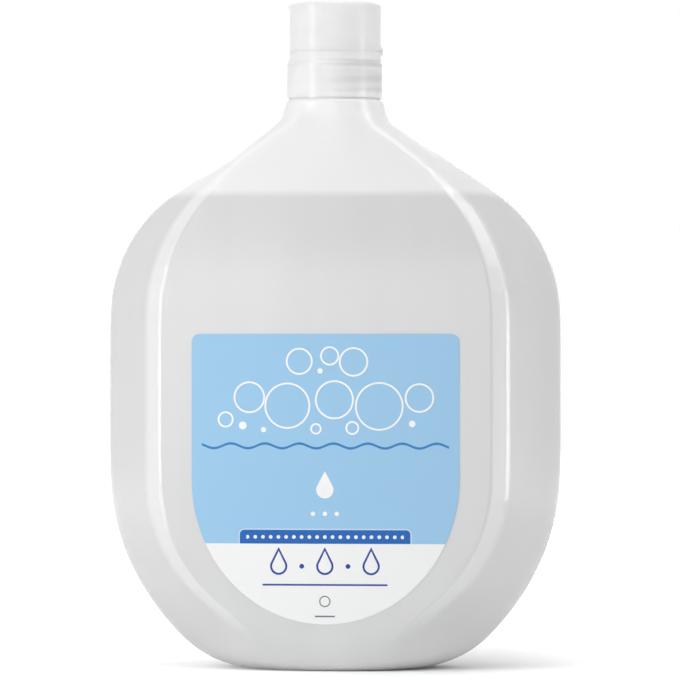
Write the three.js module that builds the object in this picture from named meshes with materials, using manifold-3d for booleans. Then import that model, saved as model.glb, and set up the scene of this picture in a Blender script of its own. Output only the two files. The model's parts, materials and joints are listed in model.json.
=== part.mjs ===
// Hand soap refill pack: a flat one-litre bottle with a screw-on flip-top closure.
// Millimetres, +Z up. The pack stands on Z = 0, its front label faces -Y and the
// lid's hinge is on the +X side. The bottle is a hollow blown shell with its gel inside.

import * as THREE from 'three';
import { mergeVertices } from 'three/addons/utils/BufferGeometryUtils.js';
import Module from 'manifold-3d';

const wasm = await Module();
wasm.setup();

// Clearances
const restGap = 0.3; // between pieces that touch on the real pack
const labelGap = 0.2; // between a label and the panel it is stuck on
const gelGap = 0.5; // between the gel and the inside of the wall

// Bottle outline seen from the front: base arc, lower arc, straight side, upper arc,
// straight shoulder and a hollow fillet into the neck
const bodyHalfWidth = 77.2;
const baseArcRadius = 39.2;
const lowerArcRadius = 78.4;
const lowerArcHeight = 67.3;
const sideStraight = 51.03;
const upperArcRadius = 51.7;
const shoulderFall = THREE.MathUtils.degToRad(33.7); // below the horizontal
const neckFilletRadius = 10.8;
const collarRadius = 17.1;
const collarCut = 1; // the collar's top ends the fillet this far below its upright tangent

// Bottle depth and wall
const bodyHalfDepth = 28.9;
const wall = 1;
const footRounding = 4;
const leanStart = 3.67; // above the straight side, where the front leans in to the neck
const crownRadius = 950; // the front and back panels bow out on this radius

// Front and back panels, each framed by a chamfer and then the rounded side
const frameWidth = 21.3; // from the panel's edge to the bottle's widest line
const panelLowerRadius = 53;
const panelLowerAngle = THREE.MathUtils.degToRad(49); // from the vertical
const panelLowerDrop = 3.3; // its straight edge starts this far below the straight side
const panelUpperRadius = 62;
const panelUpperAngle = THREE.MathUtils.degToRad(41);
const panelUpperDrop = 0.33; // and ends this far below the end of the straight side
const chamferWidth = 5;
const chamferSlope = THREE.MathUtils.degToRad(36); // from the panel's edge in to the side
const chamferEnd = 0.6; // width that is left where the chamfer runs out at the neck
const chamferTaperDrop = 39; // from the collar down to where the taper starts
const chamferEndDrop = 7;
const edgeSoftness = 0.7;
const edgeSoftLimit = 0.33; // of the chamfer's width
const panelInsetShare = 0.5; // of the wall, by which the panel is narrower on the inside
const sideStartShare = 0.92; // of the slope to the widest line, where the side leaves the chamfer
const sideRoundShare = 0.27; // of the depth, taken by the rounding at the widest line
const sideReachShare = 0.42; // of the side, that keeps its first slope

// How the panelled section turns into a rounded base and a round neck
const baseBlendHeight = 15;
const baseSquareness = 2.4; // exponent of the foot's rounded outline
const neckBlendDrop = 23; // from the collar down to where the section starts to turn round

// Push-up under the base
const footInnerShare = 0.74; // of the foot's outline
const pushUpRimShare = 0.6;
const pushUpTopShare = 0.36;
const pushUp = 3;
const pushUpRim = 2.1;

// Closure: threaded base and hinged lid
const skirtRadius = 16.5;
const skirtHeight = 11.4;
const skirtStep = 0.35; // from the skirt in to the lid's radius
const closureBaseHeight = 15.15;
const skirtWall = 1.55;
const threadRoomHeight = 11.8;
const deckThickness = 1.4;
const seatStep = 0.8; // from the rim of the closure base down to its deck
const seatWidth = 2.95;
const closureEdge = 0.35; // small chamfers of the moulding
const lidHeight = 16.75;
const lidWall = 1.2;
const lidCornerRadius = 1.3;
const lidCrown = 0.3;

// Neck finish and thread
const beadStep = 1.3; // from the collar in to the bead
const beadHeight = 1.2;
const neckEdge = 0.4; // small roundings of the blown neck
const neckWall = 1.7;
const threadPitch = 4.2;
const threadTurns = 1.5;
const threadDepth = 1.1;
const threadClearance = 0.35; // from a thread's crest to the facing root
const threadRootWidth = 2;
const threadCrestWidth = 0.9;
const threadStart = 2.5; // above the bead
const threadLeadIn = THREE.MathUtils.degToRad(24);
const threadEndShare = 0.1; // of the ridge's height, left at its ends
const threadSkip = 0.4; // turns between the start of the neck's ridge and of the closure's

// Sealing wad
const wadThickness = 1.2;
const wadWidth = 4;

// Spout and the pin that plugs it
const orificeRadius = 3.2;
const spoutWall = 1.1; // at the tip
const spoutFlare = 1.1; // wider at the deck
const spoutHeight = 5.8;
const pinClearance = 0.5;
const pinTaper = 0.7;
const pinEngagement = 2;

// Thumb recess on the -X side, cut through the lid and the rim of the closure base
const thumbDepth = 1.85;
const thumbLowDrop = 2.2; // below the rim of the closure base
const thumbLowSlope = 0.7;
const thumbLipDepth = 3.2; // below the top of the lid
const thumbLipSlope = 1.1;

// Hinge lugs on the +X side
const hingeStandOff = 0.85; // of the hinge line from the lid's wall
const hingeLugGap = 0.25; // from a lug to the hinge line
const hingeLugWidth = 9;
const hingeLugHeight = 2.6;

// Labels and gel
const labelMargin = 11; // from the label's side to the panel's edge
const labelTopDrop = 5.83; // below the end of the straight side
const labelBottom = 15.6;
const labelCornerRadius = 2.7;
const labelThickness = 0.25;
const labelTipAngle = THREE.MathUtils.degToRad(4); // round the lower curve to its first row
const headspace = 31.4; // from the collar's top down to the gel

// Steps round the curved pieces
const quarterSteps = 10; // points in a quarter of a bottle section
const panelSteps = 3; // of them, from the middle of a panel to its edge
const roundSteps = 36;
const bodyArcSteps = 6; // on the outside of each arc
const innerArcSteps = 4; // inside, where less shows
const cornerSteps = 4;
const labelColumns = 8;
const labelCurveSteps = 9;
const overlap = 0.4; // how far joined solids run into each other
const beyond = 20; // how far cutters run past what they cut

// Places that follow from the sizes above
const shoulderNormal = Math.PI / 2 - shoulderFall;
const lowerArcCentre = [bodyHalfWidth - lowerArcRadius, lowerArcHeight];
const baseArcCentre = [
  lowerArcCentre[0] + Math.sqrt(
    (lowerArcRadius - baseArcRadius) ** 2 - (lowerArcHeight - baseArcRadius) ** 2),
  baseArcRadius,
];
const lowerJoin = Math.atan2(
  lowerArcCentre[1] - baseArcCentre[1], baseArcCentre[0] - lowerArcCentre[0]);
const upperArcHeight = lowerArcHeight + sideStraight;
const upperArcCentre = [bodyHalfWidth - upperArcRadius, upperArcHeight];
const neckFilletCentre = findNeckFilletCentre();
const panelHalfWidth = bodyHalfWidth - frameWidth;
const panelLowerHeight = lowerArcHeight - panelLowerDrop;
const panelUpperHeight = upperArcHeight - panelUpperDrop;
const collarTop = neckFilletCentre[1] - collarCut;
const beadRadius = collarRadius - beadStep;
const beadTop = collarTop + beadHeight;
const skirtBottom = beadTop + restGap;
const landHeight = skirtBottom + threadRoomHeight;
const neckTop = landHeight - wadThickness - 2 * restGap;
const baseRim = skirtBottom + closureBaseHeight;
const deckTop = baseRim - seatStep;
const spoutTop = deckTop + spoutHeight;
const spoutTipRadius = orificeRadius + spoutWall;
const lidBottom = baseRim + restGap;
const lidTop = lidBottom + lidHeight;
const partingHeight = (baseRim + lidBottom) / 2;
const closureRadius = skirtRadius - skirtStep;
const thumbFlat = closureRadius - thumbDepth;
const lugReach = closureRadius + hingeStandOff - hingeLugGap;
const threadRoomRadius = skirtRadius - skirtWall;
const neckCrestRadius = threadRoomRadius - threadClearance;
const neckRadius = neckCrestRadius - threadDepth;
const boreRadius = neckRadius - neckWall;
const wadOuterRadius = threadRoomRadius - restGap;
const labelHalfWidth = panelHalfWidth - labelMargin;
const labelTop = upperArcHeight - labelTopDrop;
const fillLevel = collarTop - headspace;

// The neck fillet touches the shoulder line and the upright collar.
function findNeckFilletCentre() {
  const normal = [Math.cos(shoulderNormal), Math.sin(shoulderNormal)];
  const shoulderOffset =
    normal[0] * upperArcCentre[0] + normal[1] * upperArcCentre[1] + upperArcRadius;
  const x = collarRadius + neckFilletRadius;
  return [x, (shoulderOffset + neckFilletRadius - normal[0] * x) / normal[1]];
}

function smoothStep(value, from, to) {
  return THREE.MathUtils.smoothstep(value, from, to);
}

// Travel towards the middle of an outline that leaves the vertical on an arc and then
// runs straight at an angle from the vertical
function arcThenLine(distance, radius, angle) {
  const arcReach = radius * Math.sin(angle);
  if (distance <= 0) return 0;
  if (distance <= arcReach) return radius - Math.sqrt(radius ** 2 - distance ** 2);
  return radius * (1 - Math.cos(angle)) + (distance - arcReach) * Math.tan(angle);
}

// Adds an arc of [half width, height] points; a negative radius makes it hollow.
function addArc(points, centre, radius, from, to, steps) {
  for (let i = 0; i <= steps; i += 1) {
    const angle = THREE.MathUtils.lerp(from, to, i / steps);
    points.push([centre[0] + radius * Math.cos(angle), centre[1] + radius * Math.sin(angle)]);
  }
}

// Splits the straight run from the last point to where the next arc starts.
function addStraight(points, centre, radius, angle, steps) {
  const start = points.at(-1);
  const end = [centre[0] + radius * Math.cos(angle), centre[1] + radius * Math.sin(angle)];
  for (let i = 1; i < steps; i += 1) {
    const t = i / steps;
    points.push([
      THREE.MathUtils.lerp(start[0], end[0], t), THREE.MathUtils.lerp(start[1], end[1], t)]);
  }
}

// Right half of the bottle seen from the front, from the foot to the collar, moved
// inwards by the inset
function bodyOutline(inset, steps) {
  const points = [];
  const filletRadius = -(neckFilletRadius + inset);
  addArc(points, baseArcCentre, baseArcRadius - inset, -Math.PI / 2, -lowerJoin, steps);
  points.pop();
  addArc(points, lowerArcCentre, lowerArcRadius - inset, -lowerJoin, 0, steps);
  addStraight(points, upperArcCentre, upperArcRadius - inset, 0, 3);
  addArc(points, upperArcCentre, upperArcRadius - inset, 0, shoulderNormal, steps);
  addStraight(points, neckFilletCentre, filletRadius, shoulderNormal, 3);
  addArc(points, neckFilletCentre, filletRadius, shoulderNormal,
    Math.asin(collarCut / (neckFilletRadius + inset)), steps);
  return points;
}

function panelHalfAt(z) {
  return panelHalfWidth
    - arcThenLine(panelLowerHeight - z, panelLowerRadius, panelLowerAngle)
    - arcThenLine(z - panelUpperHeight, panelUpperRadius, panelUpperAngle);
}

function chamferAt(z) {
  const taper = smoothStep(z, collarTop - chamferTaperDrop, collarTop - chamferEndDrop);
  return THREE.MathUtils.lerp(chamferWidth, chamferEnd, taper);
}

// Half depth on the middle line: rounded at the foot, leaning in to the collar above
function halfDepthAt(z, inset) {
  const leanIn = smoothStep(z, upperArcHeight + leanStart, collarTop);
  const lean = (bodyHalfDepth - collarRadius) * leanIn;
  const rounding = Math.max(0, footRounding - inset);
  const intoRounding = THREE.MathUtils.clamp(footRounding - z, 0, rounding);
  const trim = rounding - Math.sqrt(rounding ** 2 - intoRounding ** 2);
  return bodyHalfDepth - inset - lean - trim;
}

function panelDepthAt(x, z, inset) {
  return halfDepthAt(z, inset) - x ** 2 / (2 * crownRadius);
}

// Side wall of a section, from the chamfer's outer edge round to the upright widest line
function sideCurve(start, end) {
  const run = end.clone().sub(start);
  const slope = sideStartShare * Math.atan2(-run.y, run.x);
  const reach = sideReachShare * run.length();
  return new THREE.CubicBezierCurve(
    start,
    new THREE.Vector2(start.x + reach * Math.cos(slope), start.y - reach * Math.sin(slope)),
    new THREE.Vector2(end.x, sideRoundShare * start.y),
    end);
}

// A quarter of the panelled section, from the middle of the panel round to the widest line
function panelledQuarter(halfWidth, z, inset) {
  const panel = panelHalfAt(z) - inset * panelInsetShare;
  const chamfer = chamferAt(z);
  const soft = Math.min(edgeSoftness, chamfer * edgeSoftLimit);
  const softAcross = soft * Math.cos(chamferSlope);
  const softDeep = soft * Math.sin(chamferSlope);
  const panelEdge = panelDepthAt(panel, z, inset);
  const outer = panel + chamfer;
  const outerDepth = panelEdge - chamfer * Math.tan(chamferSlope);
  const points = [];
  for (let i = 0; i < panelSteps; i += 1) {
    const x = (panel * i) / panelSteps;
    points.push([x, panelDepthAt(x, z, inset)]);
  }
  points.push([panel - soft, panelDepthAt(panel - soft, z, inset)]);
  points.push([panel + softAcross, panelEdge - softDeep]);
  points.push([outer - softAcross, outerDepth + softDeep]);
  const side = sideCurve(new THREE.Vector2(outer, outerDepth), new THREE.Vector2(halfWidth, 0));
  const sidePoints = quarterSteps + 1 - points.length;
  for (let i = 0; i < sidePoints; i += 1) {
    const point = side.getPoint(i === 0 ? soft / side.getLength() : i / (sidePoints - 1));
    points.push([point.x, point.y]);
  }
  return points;
}

// A quarter of an oval: exponent 2 is an ellipse, and more is squarer.
function ovalQuarter(halfWidth, halfDepth, exponent) {
  const points = [];
  for (let i = 0; i <= quarterSteps; i += 1) {
    const angle = (Math.PI / 2) * (i / quarterSteps);
    const across = Math.sin(angle) ** (2 / exponent);
    const deep = i === quarterSteps ? 0 : Math.cos(angle) ** (2 / exponent);
    points.push([halfWidth * across, halfDepth * deep]);
  }
  return points;
}

function blendQuarters(one, other, share) {
  return one.map(([x, y], i) => [
    THREE.MathUtils.lerp(x, other[i][0], share), THREE.MathUtils.lerp(y, other[i][1], share)]);
}

// Closed ring of points at one height, anticlockwise seen from above
function ringFromQuarter(quarter, z) {
  const rising = quarter.slice(1).reverse();
  const falling = quarter.slice(0, -1);
  const half = [...rising, ...falling.map(([x, y]) => [-x, y])];
  const ring = [...half, ...half.map(([x, y]) => [-x, -y])];
  return ring.map(([x, y]) => new THREE.Vector3(x, y, z));
}

function bodyRing([halfWidth, z], inset) {
  const depth = halfDepthAt(z, inset);
  const foot = 1 - smoothStep(z, 0, baseBlendHeight);
  const neck = smoothStep(z, collarTop - neckBlendDrop, collarTop);
  let quarter = panelledQuarter(halfWidth, z, inset);
  quarter = blendQuarters(quarter, ovalQuarter(halfWidth, depth, baseSquareness), foot);
  quarter = blendQuarters(quarter, ovalQuarter(halfWidth, depth, 2), neck);
  return ringFromQuarter(quarter, z);
}

function roundRing(radius, z) {
  return ringFromQuarter(ovalQuarter(radius, radius, 2), z);
}

function scaledRing(ring, share, z) {
  return ring.map((point) => new THREE.Vector3(point.x * share, point.y * share, z));
}

// Skins a list of equal rings and closes both ends with a fan to a middle point.
function loft(rings, startHeight, endHeight) {
  const count = rings[0].length;
  const positions = [0, 0, startHeight, ...rings.flat().flatMap((p) => [p.x, p.y, p.z]), 0, 0, endHeight];
  const last = rings.length * count + 1;
  const at = (ring, i) => 1 + ring * count + (i % count);
  const triangles = [];
  for (let i = 0; i < count; i += 1) {
    triangles.push(0, at(0, i + 1), at(0, i));
    for (let ring = 0; ring + 1 < rings.length; ring += 1) {
      triangles.push(at(ring, i), at(ring, i + 1), at(ring + 1, i + 1));
      triangles.push(at(ring, i), at(ring + 1, i + 1), at(ring + 1, i));
    }
    triangles.push(last, at(rings.length - 1, i), at(rings.length - 1, i + 1));
  }
  const geometry = new THREE.BufferGeometry();
  geometry.setAttribute('position', new THREE.Float32BufferAttribute(positions, 3));
  geometry.setIndex(triangles);
  return geometry;
}

// Solids for joining and cutting, and back to a geometry
function toSolid(geometry) {
  const bare = geometry.clone();
  bare.deleteAttribute('normal');
  bare.deleteAttribute('uv');
  const merged = mergeVertices(bare, 1e-4);
  return new wasm.Manifold(new wasm.Mesh({
    numProp: 3,
    vertProperties: new Float32Array(merged.attributes.position.array),
    triVerts: new Uint32Array(merged.index.array),
  }));
}

function toGeometry(solid) {
  const mesh = solid.getMesh();
  const geometry = new THREE.BufferGeometry();
  geometry.setAttribute('position', new THREE.BufferAttribute(mesh.vertProperties, 3));
  geometry.setIndex(new THREE.BufferAttribute(mesh.triVerts, 1));
  const flat = geometry.toNonIndexed();
  flat.computeVertexNormals();
  return flat;
}

// Turned solid about Z from [radius, height] points
function turned(profile) {
  const geometry = new THREE.LatheGeometry(
    profile.map(([radius, height]) => new THREE.Vector2(radius, height)), roundSteps);
  geometry.rotateX(Math.PI / 2);
  return toSolid(geometry);
}

function box(xRange, yRange, zRange) {
  const geometry = new THREE.BoxGeometry(
    xRange[1] - xRange[0], yRange[1] - yRange[0], zRange[1] - zRange[0]);
  geometry.translate(
    (xRange[0] + xRange[1]) / 2, (yRange[0] + yRange[1]) / 2, (zRange[0] + zRange[1]) / 2);
  return toSolid(geometry);
}

// Solid with the same [x, height] outline all along Y
function prism(outline, width) {
  const shape = new THREE.Shape(outline.map(([x, height]) => new THREE.Vector2(x, height)));
  const geometry = new THREE.ExtrudeGeometry(shape, { depth: width, bevelEnabled: false });
  geometry.rotateX(Math.PI / 2);
  geometry.translate(0, width / 2, 0);
  return toSolid(geometry);
}

// Right-hand thread ridge from a root radius to a crest radius, run in at both ends
function threadRidge(rootRadius, crestRadius, startHeight, startAngle) {
  const steps = Math.round(roundSteps * threadTurns);
  const sweep = threadTurns * 2 * Math.PI;
  const outward = Math.sign(crestRadius - rootRadius);
  const corners = [];
  for (let i = 0; i <= steps; i += 1) {
    const turn = (sweep * i) / steps;
    const angle = startAngle + turn;
    const height = startHeight + (threadPitch * turn) / (2 * Math.PI);
    const rise = Math.min(1, threadEndShare + Math.min(turn, sweep - turn) / threadLeadIn);
    const crest = THREE.MathUtils.lerp(rootRadius, crestRadius, rise);
    const section = [
      [rootRadius - outward * overlap, -threadRootWidth / 2],
      [crest, -threadCrestWidth / 2],
      [crest, threadCrestWidth / 2],
      [rootRadius - outward * overlap, threadRootWidth / 2],
    ];
    for (const [radius, offset] of section) {
      corners.push(radius * Math.cos(angle), radius * Math.sin(angle), height + offset);
    }
  }
  const triangles = [];
  const addQuad = (a, b, c, d) => {
    if (outward > 0) triangles.push(a, b, c, a, c, d);
    else triangles.push(a, c, b, a, d, c);
  };
  for (let i = 0; i < steps; i += 1) {
    for (let side = 0; side < 4; side += 1) {
      const next = (side + 1) % 4;
      addQuad(4 * i + side, 4 * (i + 1) + side, 4 * (i + 1) + next, 4 * i + next);
    }
  }
  addQuad(0, 1, 2, 3);
  addQuad(4 * steps + 3, 4 * steps + 2, 4 * steps + 1, 4 * steps);
  const geometry = new THREE.BufferGeometry();
  geometry.setAttribute('position', new THREE.Float32BufferAttribute(corners, 3));
  geometry.setIndex(triangles);
  return toSolid(geometry);
}

// Rings of the push-up inside a foot ring, from the middle outwards
function pushUpRings(foot, height) {
  return [
    scaledRing(foot, pushUpTopShare, height + pushUp),
    scaledRing(foot, pushUpRimShare, height + pushUpRim),
    scaledRing(foot, footInnerShare, height),
  ];
}

function bottleGeometry() {
  const outer = bodyOutline(0, bodyArcSteps).map((station) => bodyRing(station, 0));
  const inner = bodyOutline(wall, innerArcSteps).slice(0, -2).map((station) => bodyRing(station, wall));
  const neckRings = [
    roundRing(collarRadius - neckEdge, collarTop + neckEdge),
    roundRing(beadRadius, collarTop + neckEdge),
    roundRing(beadRadius, beadTop - neckEdge),
    roundRing(beadRadius - neckEdge, beadTop),
    roundRing(neckRadius, beadTop),
    roundRing(neckRadius, neckTop - neckEdge),
    roundRing(neckRadius - neckEdge, neckTop),
    roundRing(boreRadius, neckTop),
    roundRing(boreRadius, collarTop),
  ];
  const rings = [
    ...pushUpRings(outer[0], 0),
    ...outer,
    ...neckRings,
    ...[...pushUpRings(inner[0], wall), ...inner].reverse(),
  ];
  const shell = toSolid(loft(rings, pushUp, wall + pushUp));
  const ridge = threadRidge(neckRadius, neckCrestRadius, beadTop + threadStart, 0);
  return toGeometry(shell.add(ridge));
}

// Gel up to the fill level, clear of the inside of the wall
function gelGeometry() {
  const inset = wall + gelGap;
  const outline = bodyOutline(inset, innerArcSteps);
  const above = outline.findIndex(([, z]) => z > fillLevel);
  const [below, over] = [outline[above - 1], outline[above]];
  const share = (fillLevel - below[1]) / (over[1] - below[1]);
  const surface = [THREE.MathUtils.lerp(below[0], over[0], share), fillLevel];
  const rings = [...outline.slice(0, above), surface].map((station) => bodyRing(station, inset));
  return loft([...pushUpRings(rings[0], inset), ...rings], inset + pushUp, fillLevel);
}

// Half width and height of the label, from its lower tip to its top edge
function labelRows() {
  const rows = [];
  const curveHeight = panelLowerHeight - labelBottom;
  for (let i = 0; i <= labelCurveSteps; i += 1) {
    const angle = THREE.MathUtils.lerp(labelTipAngle, Math.PI / 2, i / labelCurveSteps);
    rows.push([labelHalfWidth * Math.sin(angle), panelLowerHeight - curveHeight * Math.cos(angle)]);
  }
  for (let i = 0; i <= cornerSteps; i += 1) {
    const angle = (Math.PI / 2) * (i / cornerSteps);
    rows.push([
      labelHalfWidth - labelCornerRadius * (1 - Math.cos(angle)),
      labelTop - labelCornerRadius * (1 - Math.sin(angle))]);
  }
  return rows;
}

// Thin label that follows the bowed panel; facing is -1 on the front and 1 on the back.
function labelGeometry(facing) {
  const rows = labelRows();
  const inner = labelGap;
  const outer = labelGap + labelThickness;
  const rings = rows.map(([half, z]) => {
    const across = Array.from({ length: labelColumns + 1 }, (_, i) => half * (1 - (2 * i) / labelColumns));
    const at = (x, lift) => new THREE.Vector3(x, panelDepthAt(x, z, 0) + lift, z);
    return [...across.map((x) => at(x, outer)), ...across.reverse().map((x) => at(x, inner))];
  });
  const count = rings[0].length;
  const positions = rings.flat().flatMap((p) => [p.x, p.y, p.z]);
  const triangles = [];
  for (let row = 0; row + 1 < rings.length; row += 1) {
    for (let i = 0; i < count; i += 1) {
      const [a, b] = [row * count + i, row * count + ((i + 1) % count)];
      triangles.push(a, b, b + count, a, b + count, a + count);
    }
  }
  const top = (rings.length - 1) * count;
  for (let i = 0; i < labelColumns; i += 1) {
    const facingEdge = count - 1 - i;
    triangles.push(i, facingEdge, facingEdge - 1, i, facingEdge - 1, i + 1);
    triangles.push(top + i, top + facingEdge - 1, top + facingEdge);
    triangles.push(top + i, top + i + 1, top + facingEdge - 1);
  }
  const geometry = new THREE.BufferGeometry();
  geometry.setAttribute('position', new THREE.Float32BufferAttribute(positions, 3));
  geometry.setIndex(triangles);
  if (facing < 0) geometry.rotateZ(Math.PI);
  return geometry;
}

// Cutter for the thumb recess on the -X side
function thumbCutter() {
  const low = baseRim - thumbLowDrop;
  const high = lidTop - thumbLipDepth;
  return prism([
    [-thumbFlat - beyond, low - beyond * thumbLowSlope],
    [-thumbFlat, low],
    [-thumbFlat, high],
    [-thumbFlat - beyond, high + beyond * thumbLipSlope],
  ], 4 * skirtRadius);
}

function closureBaseGeometry() {
  const landRadius = wadOuterRadius - wadWidth + restGap;
  const mouth = closureEdge * 2;
  const body = turned([
    [skirtRadius - closureEdge, skirtBottom],
    [skirtRadius, skirtBottom + closureEdge],
    [skirtRadius, skirtBottom + skirtHeight],
    [closureRadius, skirtBottom + skirtHeight + closureEdge],
    [closureRadius, baseRim],
    [closureRadius - seatWidth, baseRim],
    [closureRadius - seatWidth, deckTop],
    [spoutTipRadius + spoutFlare, deckTop],
    [spoutTipRadius + closureEdge, deckTop + closureEdge * 3],
    [spoutTipRadius, spoutTop - closureEdge],
    [spoutTipRadius - closureEdge, spoutTop],
    [orificeRadius, spoutTop],
    [orificeRadius, deckTop - deckThickness],
    [landRadius, deckTop - deckThickness],
    [landRadius, landHeight],
    [threadRoomRadius, landHeight],
    [threadRoomRadius, skirtBottom + mouth],
    [threadRoomRadius + mouth, skirtBottom],
    [skirtRadius - closureEdge, skirtBottom],
  ]);
  // Half a pitch below the ridge on the neck
  const ridgeStart = beadTop + threadStart + threadPitch * (threadSkip - 0.5);
  const ridge = threadRidge(
    threadRoomRadius, neckRadius + threadClearance, ridgeStart, threadSkip * 2 * Math.PI);
  const lugTop = partingHeight - hingeLugGap;
  const lug = prism([
    [closureRadius - overlap * 2, lugTop - hingeLugHeight],
    [closureRadius, lugTop - hingeLugHeight],
    [lugReach, lugTop - hingeLugHeight / 2],
    [lugReach, lugTop],
    [closureRadius - overlap * 2, lugTop],
  ], hingeLugWidth);
  return toGeometry(body.add(lug).subtract(thumbCutter()).add(ridge));
}

function lidGeometry() {
  const inner = closureRadius - lidWall;
  const ceiling = lidTop - lidWall - lidCrown;
  const corner = [];
  addArc(corner, [closureRadius - lidCornerRadius, lidTop - lidCrown - lidCornerRadius],
    lidCornerRadius, 0, Math.PI / 2, cornerSteps);
  const pinRadius = orificeRadius - pinClearance;
  const body = turned([
    [0, spoutTop - pinEngagement],
    [pinRadius - pinTaper, spoutTop - pinEngagement],
    [pinRadius, spoutTop],
    [pinRadius, ceiling - closureEdge],
    [pinRadius + closureEdge, ceiling],
    [inner - closureEdge, ceiling],
    [inner, ceiling - closureEdge],
    [inner, lidBottom],
    [closureRadius, lidBottom],
    ...corner,
    [closureRadius / 2, lidTop - lidCrown / 4],
    [0, lidTop],
  ]);
  // Wall behind the flat of the thumb recess
  const disc = turned([
    [0, lidBottom], [closureRadius - overlap, lidBottom],
    [closureRadius - overlap, ceiling + overlap], [0, ceiling + overlap],
  ]);
  const backing = disc.intersect(box(
    [-closureRadius - beyond, -thumbFlat + lidWall],
    [-closureRadius, closureRadius],
    [lidBottom - beyond, ceiling + beyond]));
  const lugBottom = partingHeight + hingeLugGap;
  const lug = prism([
    [closureRadius - overlap * 2, lugBottom],
    [lugReach, lugBottom],
    [lugReach, lugBottom + hingeLugHeight / 2],
    [closureRadius, lugBottom + hingeLugHeight],
    [closureRadius - overlap * 2, lugBottom + hingeLugHeight],
  ], hingeLugWidth);
  return toGeometry(body.add(backing).add(lug).subtract(thumbCutter()));
}

function wadGeometry() {
  const low = neckTop + restGap;
  const inner = wadOuterRadius - wadWidth;
  return toGeometry(turned([
    [inner, low], [wadOuterRadius, low], [wadOuterRadius, low + wadThickness],
    [inner, low + wadThickness], [inner, low],
  ]));
}

function part(name, geometry, color, roughness) {
  const material = new THREE.MeshStandardMaterial({ color, roughness, metalness: 0 });
  material.name = name;
  const mesh = new THREE.Mesh(geometry, material);
  mesh.name = name;
  return mesh;
}

const pack = new THREE.Group();
pack.add(part('bottle', bottleGeometry(), 0xe9ebec, 0.45));
pack.add(part('gel_fill', gelGeometry(), 0xdcdedf, 0.2));
pack.add(part('front_label', labelGeometry(-1), 0x99cbee, 0.35));
pack.add(part('back_label', labelGeometry(1), 0xf2f4f5, 0.35));
pack.add(part('sealing_wad', wadGeometry(), 0xf4f4f1, 0.8));
pack.add(part('closure_base', closureBaseGeometry(), 0xe2e4e5, 0.3));
pack.add(part('flip_lid', lidGeometry(), 0xe4e6e7, 0.3));

export default pack;
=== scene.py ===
import json
import math

import bmesh
import bpy
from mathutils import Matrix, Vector

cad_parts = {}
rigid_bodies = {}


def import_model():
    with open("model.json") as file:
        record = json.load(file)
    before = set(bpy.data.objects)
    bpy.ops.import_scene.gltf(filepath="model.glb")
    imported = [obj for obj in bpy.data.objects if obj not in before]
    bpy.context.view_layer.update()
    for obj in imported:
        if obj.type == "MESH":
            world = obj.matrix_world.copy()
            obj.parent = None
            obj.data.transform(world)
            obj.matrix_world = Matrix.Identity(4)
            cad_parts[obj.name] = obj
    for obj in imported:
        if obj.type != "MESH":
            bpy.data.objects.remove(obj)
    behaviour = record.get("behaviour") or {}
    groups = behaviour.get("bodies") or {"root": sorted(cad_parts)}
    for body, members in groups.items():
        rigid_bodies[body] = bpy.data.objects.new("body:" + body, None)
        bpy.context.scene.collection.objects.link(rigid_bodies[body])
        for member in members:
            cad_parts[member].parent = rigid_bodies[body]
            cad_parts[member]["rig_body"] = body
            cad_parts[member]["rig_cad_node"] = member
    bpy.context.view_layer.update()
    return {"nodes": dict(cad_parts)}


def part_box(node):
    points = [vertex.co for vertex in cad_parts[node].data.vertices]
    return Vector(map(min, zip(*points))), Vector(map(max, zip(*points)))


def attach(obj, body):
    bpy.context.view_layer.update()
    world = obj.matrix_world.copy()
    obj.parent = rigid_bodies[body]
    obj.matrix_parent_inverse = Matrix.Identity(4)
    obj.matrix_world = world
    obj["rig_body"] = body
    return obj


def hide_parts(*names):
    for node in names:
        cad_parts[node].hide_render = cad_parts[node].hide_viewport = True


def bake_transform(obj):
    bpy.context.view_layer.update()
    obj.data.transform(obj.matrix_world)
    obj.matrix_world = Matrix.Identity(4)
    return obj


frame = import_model()
nodes = frame["nodes"]
MM = 0.001

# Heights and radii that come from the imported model
skirt_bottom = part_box("closure_base")[0].z
spout_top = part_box("closure_base")[1].z
lid_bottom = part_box("flip_lid")[0].z
lid_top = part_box("flip_lid")[1].z
neck_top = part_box("bottle")[1].z
skirt_radius = -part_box("closure_base")[0].x
lid_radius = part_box("flip_lid")[1].y
lug_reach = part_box("flip_lid")[1].x
fill_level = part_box("gel_fill")[1].z
body_half_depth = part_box("bottle")[1].y
label_half_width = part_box("front_label")[1].x
label_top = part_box("front_label")[1].z
label_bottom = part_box("front_label")[0].z

# Sizes, in metres
rest_gap = 0.3 * MM  # as in the CAD
fine_edge = 0.1 * MM
fine_edge_angle = math.radians(32)  # the least turn of an edge that is rounded

# Neck
bead_height = 1.2 * MM
bead_radius = 15.8 * MM
neck_radius = 13.5 * MM
bore_radius = 11.8 * MM
neck_edge = 0.4 * MM
neck_corner_hold = 0.12 * MM
shell_cut_drop = 0.05 * MM  # below the collar's top, where the CAD's shell is cut off
bore_depth = 3 * MM

# Threads of the neck and the closure
thread_pitch = 4.2 * MM
thread_turns = 1.5
thread_depth = 1.1 * MM
thread_start = 2.5 * MM
closure_thread_turn = 0.4  # of a turn past the start of the neck's thread
thread_root_width = 2 * MM
thread_crest_width = 0.9 * MM
thread_overlap = 0.4 * MM  # sunk into its wall
thread_lead_in = math.radians(24)
thread_clearance = 0.35 * MM
turned_steps = 96

# Closure base
mould_edge = 0.35 * MM
skirt_height = 11.4 * MM
skirt_wall = 1.55 * MM
base_height = 15.15 * MM
thread_room_height = 11.8 * MM
deck_thickness = 1.4 * MM
seat_step = 0.8 * MM
seat_width = 2.95 * MM
land_radius = 10.95 * MM
orifice_radius = 3.2 * MM
spout_tip_radius = 4.3 * MM
spout_base_radius = 5.4 * MM

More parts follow.
